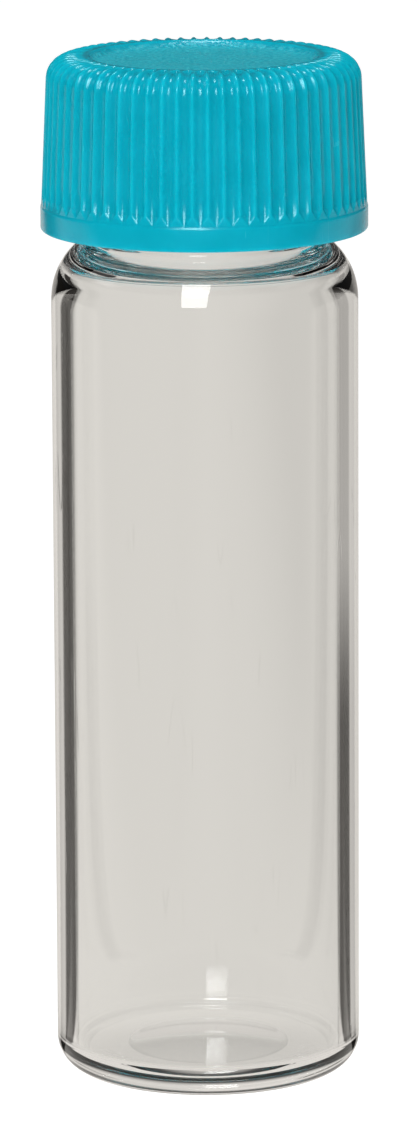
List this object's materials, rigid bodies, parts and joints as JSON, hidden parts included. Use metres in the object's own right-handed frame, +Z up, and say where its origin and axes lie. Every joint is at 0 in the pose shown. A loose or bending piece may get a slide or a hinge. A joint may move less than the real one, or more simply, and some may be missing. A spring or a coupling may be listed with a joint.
{
  "type": "glass sample vial",
  "caption": "Clear glass sample vial with a straight round body, a domed shoulder and a threaded neck, closed by a ribbed plastic screw cap with a sealing liner.",
  "frame": {"origin": "centre of the base, on the surface that the vial stands on", "axes": "+Z up along the vial's axis, from the base to the cap"},
  "size_m": [0.0226, 0.0226, 0.0715],
  "materials": {
    "clear_glass": "clear, fire polished",
    "cap_plastic": "satin moulded turquoise",
    "liner_foam": "smooth white foam"
  },
  "bodies": {
    "vial": {"vial": "clear_glass"},
    "liner": {"cap_liner": "liner_foam"},
    "cap": {"cap": "cap_plastic"}
  },
  "joints": [
    {"name": "cap_lift", "type": "slide", "parent": "vial", "child": "liner", "axis": [0, 0, 1], "range_m": [0, 0.01033]},
    {"name": "cap_turn", "type": "hinge", "parent": "liner", "child": "cap", "pos_m": [0, 0, 0.0655], "axis": [0, 0, 1], "range_deg": [0, 1170]}
  ],
  "couplings": [
    {"joint": "cap_lift", "follows": "cap_turn", "m_per_rad": 0.00050532}
  ]
}
